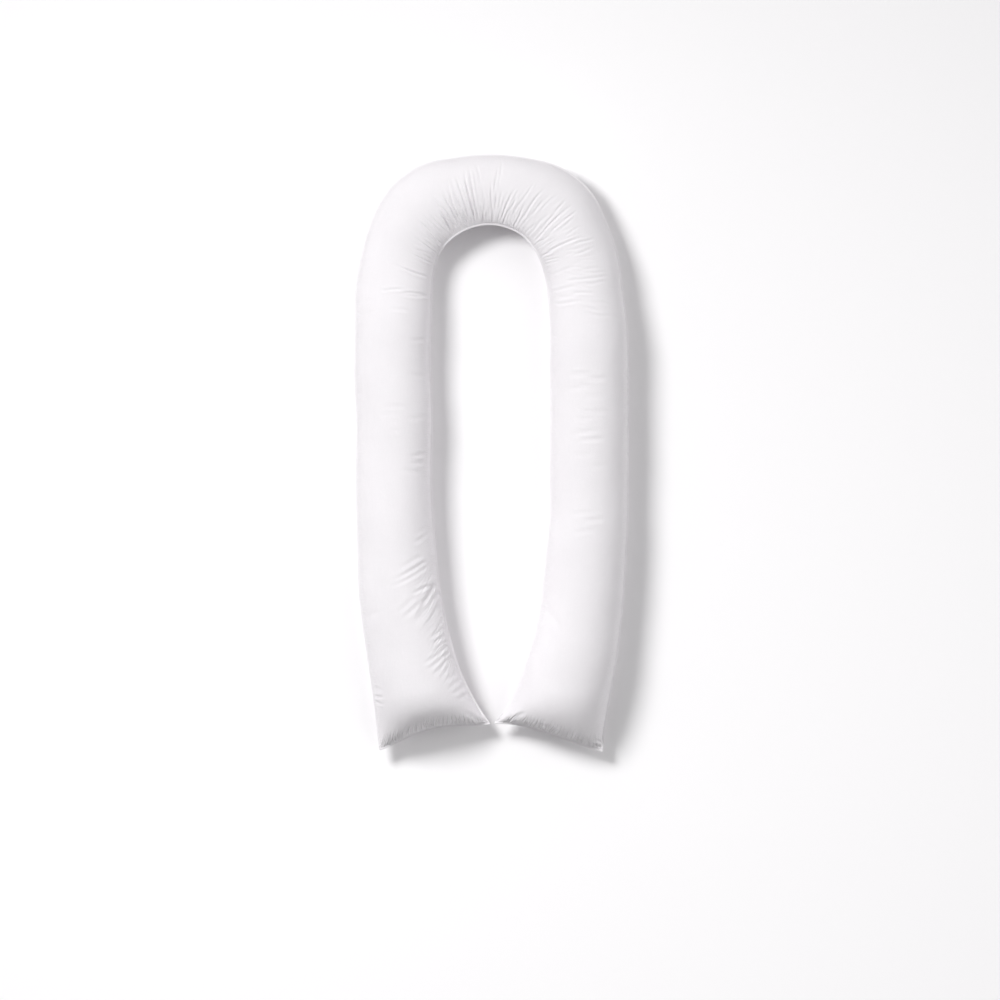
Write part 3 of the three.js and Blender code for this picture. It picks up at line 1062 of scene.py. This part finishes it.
# %% Short names for the nodes that are used often
class Finish(Recipe):
    """The nodes of one material, which end in its surface."""

    def __init__(self, name):
        super().__init__(bpy.data.materials.new(name), "Principled BSDF")

    def mark(self, name):
        """A number that every point of the mesh remembers."""
        settings = {"attribute_type": "GEOMETRY", "attribute_name": name}
        return self.node("Attribute", settings, {}, "Fac")

    def plane(self, x, y):
        """A place made of two numbers."""
        return self.node("CombineXYZ", {}, {0: x, 1: y})

    def noise(self, place, detail=2.0):
        """Soft noise from 0 to 1, whose blobs are about one unit wide."""
        sockets = {"Vector": place, "Scale": 1.0, "Detail": detail}
        return self.node("TexNoise", {"noise_dimensions": "2D"}, sockets)

    def step(self, value, low, high):
        """0 where the value is at low, 1 where it is at high, and soft between them."""
        sockets = {"Value": value, "From Min": low, "From Max": high}
        return self.node("MapRange", {"interpolation_type": "SMOOTHSTEP"}, sockets)

    def mix(self, factor, first, second):
        """The first colour where the factor is 0, the second where it is 1."""
        return self.node("Mix", {"data_type": "RGBA"}, {0: factor, 6: first, 7: second}, 2)


cotton = Finish("white_cotton")
print("nodes to start with:", [node.name for node in cotton.tree.nodes])

# %% [markdown]
# ## White cotton
#
# The case is plain white cotton: threads up the panel and threads across it pass over and under
# each other, about twenty to the centimetre. An image of woven cloth would do, but it would stretch
# round the bend. The marks on the points say where each spot lay in the flat cloth, in millimetres,
# so two sine waves weave it at its real size and it follows the legs without a stretch. Heights
# are in millimetres too, and a Bump node turns them to relief.

# %% Places in the flat cloth, for the material
up_and_down, left_and_right = cotton.mark("cut_y"), cotton.mark("cut_x")


def scaled(wide, long):
    """The place in the flat cloth, in steps of the given sizes across and along it."""
    return cotton.plane(left_and_right / wide, up_and_down / long)


print("nodes so far:", len(cotton.tree.nodes))

# %% Threads over and under
THREAD = 0.5
THREAD_HEIGHT = 0.05
WANDER = 0.5  # millimetres that a thread wanders off its line

wander = cotton.noise(scaled(6, 6)) * WANDER
thread_across = (left_and_right + wander) * (np.pi / THREAD)
thread_along = (up_and_down + wander) * (np.pi / THREAD)
warp, weft = thread_across.math("SINE"), thread_along.math("SINE")
warp_on_top = (warp * weft) > 0.0
weave = abs(weft) + (abs(warp) - abs(weft)) * warp_on_top
print("threads in a centimetre:", 10 / THREAD)

# %% Thick places in the thread
SLUB_WIDE, WARP_SLUB, WEFT_SLUB = 1.1, 38, 34  # width and lengths
SLUB_HEIGHT = 0.04
warp_slub = cotton.step(cotton.noise(scaled(SLUB_WIDE, WARP_SLUB)), 0.55, 0.8)
weft_slub = cotton.step(cotton.noise(scaled(WEFT_SLUB, SLUB_WIDE)), 0.57, 0.8)
slubs = warp_slub + weft_slub
print("nodes so far:", len(cotton.tree.nodes))

# %% [markdown]
# ## Soft rumples and puckers
#
# Stuffed cotton is never quite smooth. Wide shallow rumples are left by the filling, and the cloth
# puckers at right angles to every seam, because the stitches shorten it there. Both are too low to
# be worth points in the mesh, so they are heights in the material. The puckers fade with the
# distance from the seam that each point remembers.

# %% Rumples of the filling
RUMPLE_HEIGHT = 0.9
WIDE_RUMPLES, SMALL_RUMPLES = (34, 46), (13, 17)  # widths across and along the cloth
SMALL_SHARE = 0.22
small_rumples = cotton.noise(scaled(*SMALL_RUMPLES)) * SMALL_SHARE
rumples = cotton.noise(scaled(*WIDE_RUMPLES)) + small_rumples
print("nodes so far:", len(cotton.tree.nodes))

# %% Puckers beside the seams
PUCKER = 8.5
PUCKER_HEIGHT = 0.2
UNEVEN = 3.0  # how many puckers the row runs ahead or behind
UNEVEN_ALONG, UNEVEN_OUT = 22, 30  # over these distances
SIDE_PUCKERS, END_PUCKERS = 30, 34  # how far they reach from a seam

from_side, from_end = cotton.mark("from_side"), cotton.mark("from_end")
side_run = cotton.mark("side_run")


def puckers(run, from_edge, far):
    """Waves along a seam that fade out with the distance from it."""
    uneven = cotton.noise(cotton.plane(run / UNEVEN_ALONG, from_edge / UNEVEN_OUT)) * UNEVEN
    wave = ((run / PUCKER + uneven) * (2 * np.pi)).math("SINE")
    return wave * cotton.step(from_edge, far, SEAM_LIP) * cotton.step(from_edge, 1, SEAM_LIP)


side_puckers = puckers(side_run, from_side, SIDE_PUCKERS)
end_puckers = puckers(left_and_right, from_end, END_PUCKERS)
print("puckers in ten centimetres:", round(100 / PUCKER))

# %% [markdown]
# ## Fine gathers between the pressed creases
#
# Where the cloth is gathered, still finer grooves run out from the seam. A row of even waves would
# look like corduroy. Here each groove lies where a stretched noise crosses its middle value, so
# grooves come and go, split and join, and never line up.


# %% Grooves that run out from a seam
GROOVE_LENGTH = 9  # times the distance between two grooves
GROOVE_BEND = 1.1  # distances between grooves by which a groove is bent
GROOVE_WIDTH, GROOVE_DEPTH = 0.17, 0.6  # of the noise's range, and of the height


def gathers(along, out, apart, far):
    """Narrow grooves that run out from a seam and fade at the given distance from it."""
    bent = cotton.noise(cotton.plane(along / (5 * apart), out / (3 * apart))) * GROOVE_BEND
    stretched = cotton.plane(along / apart + bent, out / (GROOVE_LENGTH * apart))
    field = cotton.noise(stretched, 1.0)
    grooves = cotton.step(abs(field - 0.5), 0.0, GROOVE_WIDTH) - GROOVE_DEPTH
    return grooves * cotton.step(out, far, 0.2 * far) * cotton.step(out, 2, 12)


# %% Gathers at the bend, the flare and the ends
BEND_GATHERS, FLARE_GATHERS, END_GATHERS = 0.9, 0.8, 2.1  # heights
BEND_APART, FLARE_APART, END_APART = 9.0, 14.0, 10.5
BEND_FAR, FLARE_FAR, END_FAR = 105, 95, 62
FLARE_SLANT, END_SLANT = 1.15, 0.45

on_inner_half = cotton.step(cotton.mark("share"), 0.62, 0.4)
along_flare = up_and_down - left_and_right * FLARE_SLANT
on_right_end = cotton.step(left_and_right, -60, 60)
along_end = left_and_right - from_end * END_SLANT * on_right_end
bend_gathers = gathers(side_run, from_side, BEND_APART, BEND_FAR)
bend_gathers = bend_gathers * cotton.mark("gathered") * on_inner_half
flare_gathers = gathers(along_flare, from_side, FLARE_APART, FLARE_FAR)
flare_gathers = flare_gathers * cotton.mark("flared") * on_inner_half
end_gathers = gathers(along_end, from_end, END_APART, END_FAR)
gathering = bend_gathers * BEND_GATHERS + flare_gathers * FLARE_GATHERS
gathering = gathering + end_gathers * END_GATHERS
print("nodes so far:", len(cotton.tree.nodes))

# %% [markdown]
# ## The stitched edge
#
# The panels are joined by one row of machine stitches along the middle of the sewn lip. Each stitch
# stands a little proud of the cloth. Stitches of their own geometry would be thousands of pieces
# smaller than a pixel, so they are drawn in the material. The lip is four layers of cloth thick and
# gets rubbed, so it is a little rougher than the rest. Its colour is lighter too: partly from the
# wear, and partly a painted highlight where the lip catches the light.

# %% A row of stitches
STITCH = 3.2
STITCH_WIDTH = 0.9
STITCH_HEIGHT = 0.28
STITCH_WHOLE, STITCH_ENDS = 0.28, 0.42  # from a stitch's middle, as shares of its length


def stitches(run, from_edge):
    """1 on the thread of a stitch and 0 on the cloth beside it."""
    beside = cotton.step(abs(from_edge - SEAM_LIP / 2), STITCH_WIDTH / 2, STITCH_WIDTH / 5)
    from_middle = abs((run / STITCH).math("FRACT") - 0.5)
    return beside * cotton.step(from_middle, STITCH_ENDS, STITCH_WHOLE)


side_stitches = stitches(side_run, from_side)
end_stitches = stitches(left_and_right, from_end)
thread = side_stitches.math("MAXIMUM", end_stitches)
print("stitches in a centimetre:", round(10 / STITCH, 1))

# %% Rubbed edges, partly a painted highlight
on_side_lip = cotton.step(from_side, SEAM_LIP + 1, SEAM_LIP - 2)
on_end_lip = cotton.step(from_end, SEAM_LIP + 1, SEAM_LIP - 2)
on_lip = on_side_lip.math("MAXIMUM", on_end_lip)
# Painted highlight: the lip is made lighter as if it caught the light, on top of its real wear.
lip_wear_and_light = on_lip * (0.5 + cotton.noise(scaled(7, 7)))
print("nodes so far:", len(cotton.tree.nodes))

# %% [markdown]
# ## Colour, roughness and relief
#
# White cotton is not one white: it is cloudy over a hand's breadth from washing, painted deeper
# between the threads as shade, and lighter on the lip, partly from rubbing and partly as a painted
# highlight. One plain colour would look like plaster. A mask gathers these and mixes a deeper and
# a lighter white. The surface is dry and has a faint sheen of loose fibres.

# %% Mix the whites
DEEP_WHITE = (0.71, 0.69, 0.71, 1)
LIGHT_WHITE = (0.875, 0.851, 0.875, 1)
CLOUDS = (85, 110)  # their widths across and along the cloth
MIDDLE_SHADE = 0.54
WEAVE_SHADE, CLOUD_SHADE, SLUB_SHADE = 0.26, 0.22, 0.10
LIP_WEAR_AND_LIGHT, THREAD_SHADE = 0.2, 0.12

clouds = cotton.noise(scaled(*CLOUDS), 3.0)
# Painted shade: the weave makes the cloth a deeper white in the gaps between the threads.
shade = MIDDLE_SHADE + weave * WEAVE_SHADE + (clouds - 0.5) * CLOUD_SHADE
# The lip's mask paints it lighter: partly wear, partly a painted highlight.
shade = shade + slubs * SLUB_SHADE + lip_wear_and_light * LIP_WEAR_AND_LIGHT + thread * THREAD_SHADE
cotton.finish({"Base Color": cotton.mix(shade, DEEP_WHITE, LIGHT_WHITE)})
print("nodes so far:", len(cotton.tree.nodes))

# %% Rough and soft
DRY = 0.87
WEAVE_SMOOTH, THREAD_SMOOTH = 0.05, 0.12
CLOUD_ROUGH, RUBBED_ROUGH = 0.12, 0.05

roughness = DRY - weave * WEAVE_SMOOTH + (clouds - 0.5) * CLOUD_ROUGH
roughness = roughness + lip_wear_and_light * RUBBED_ROUGH - thread * THREAD_SMOOTH
cotton.finish({
    "Roughness": roughness,
    "Specular IOR Level": 0.35,
    "Sheen Weight": 0.15,
    "Sheen Roughness": 0.45,
})
print("roughness of plain cloth:", DRY)

# %% Relief in millimetres
height = weave * THREAD_HEIGHT + slubs * SLUB_HEIGHT + rumples * RUMPLE_HEIGHT
height = height + (side_puckers + end_puckers) * PUCKER_HEIGHT + gathering
height = height + thread * STITCH_HEIGHT
relief = cotton.node("Bump", {}, {"Strength": 1.0, "Distance": MM, "Height": height})
cotton.finish({"Normal": relief})
pillow.data.materials.append(cotton.owner)
print("nodes of white cotton:", len(cotton.tree.nodes))

# %% [markdown]
# ## Floor
#
# The pillow lies on plain white paper that fills the picture. It is a part of the stage and not of
# the pillow. A hair's breadth between both keeps their faces from fighting for the same pixels.

# %% Lay the paper
PAPER_HALF = 20000
PAPER_GAP = 0.0005

floor = make_piece(
    "floor",
    PAPER_HALF * np.array([(-1, -1, 0), (1, -1, 0), (1, 1, 0), (-1, 1, 0)]),
    [(0, 1, 2, 3)],
)
floor.location.z = -PAPER_GAP
paper = Finish("white_paper")
paper.finish({"Base Color": (0.95, 0.94, 0.95, 1), "Roughness": 1.0, "Specular IOR Level": 0.0})
floor.data.materials.append(paper.owner)
print("floor reaches", PAPER_HALF * MM, "m to every side")

# %% [markdown]
# ## Light
#
# One round softbox hangs above the upper left. It is near, so its light comes in more steeply at
# the bend than at the open ends, and their shadows are longer. A real lamp this near would light
# the bend more than the ends, but in the picture both are as bright, so this one doesn't fade with
# distance. Broad fill light comes from the right, and a little from the left and from behind the
# bend. An even dome alone would leave the pillow without a form.


# %% Lamps
def add_light(name, kind, towards, energy):
    """A lamp that shines along the given direction."""
    lamp = bpy.data.objects.new(name, bpy.data.lights.new(name, kind))
    lamp.data.energy = energy
    lamp.rotation_euler = Vector(towards).to_track_quat("-Z", "Y").to_euler()
    lamp.visible_camera = False
    bpy.context.scene.collection.objects.link(lamp)
    return lamp


def even_with_distance(lamp):
    """Keeps an area lamp as bright on the far end of the pillow as on the near one."""
    glow = Recipe(lamp.data, "Emission")
    glow.finish({"Strength": glow.node("LightFalloff", {}, {"Strength": 1.0}, "Constant")})


# %% Hang the softbox
SOFTBOX_PLACE = Vector((-2.0, 1.6, 3.3))
SOFTBOX_AIM = Vector((0.4, -2.5, 0.0))
SOFTBOX_POWER, SOFTBOX_SIZE = 7.9, 1.4

softbox = add_light("softbox", "AREA", SOFTBOX_AIM - SOFTBOX_PLACE, SOFTBOX_POWER)
softbox.location = SOFTBOX_PLACE
softbox.data.shape = "DISK"
softbox.data.size = SOFTBOX_SIZE
even_with_distance(softbox)
print("softbox hangs %.1f m high" % SOFTBOX_PLACE.z)

# %% Fill light from three sides
FILL_SPREAD = 70  # degrees

for name, towards, energy in [
    ("fill_right", (-1, 0, -0.8), 1.25),
    ("fill_left", (1, 0, -0.8), 0.75),
    ("fill_behind", (0, -1, -0.8), 0.5),
]:
    fill_light = add_light(name, "SUN", towards, energy)
    fill_light.data.angle = np.radians(FILL_SPREAD)

# %% A faint light from everywhere
ROOM_WHITE, ROOM_STRENGTH = (1.0, 0.985, 1.0, 1), 0.03

studio = bpy.data.worlds.new("studio")
Recipe(studio, "Background").finish({"Color": ROOM_WHITE, "Strength": ROOM_STRENGTH})
bpy.context.scene.world = studio
bpy.context.scene.view_settings.view_transform = "Standard"
print("world:", studio.name)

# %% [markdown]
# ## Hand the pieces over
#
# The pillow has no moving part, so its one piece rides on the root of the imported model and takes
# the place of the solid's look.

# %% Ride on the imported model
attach(pillow, "root")
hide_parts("pillow")
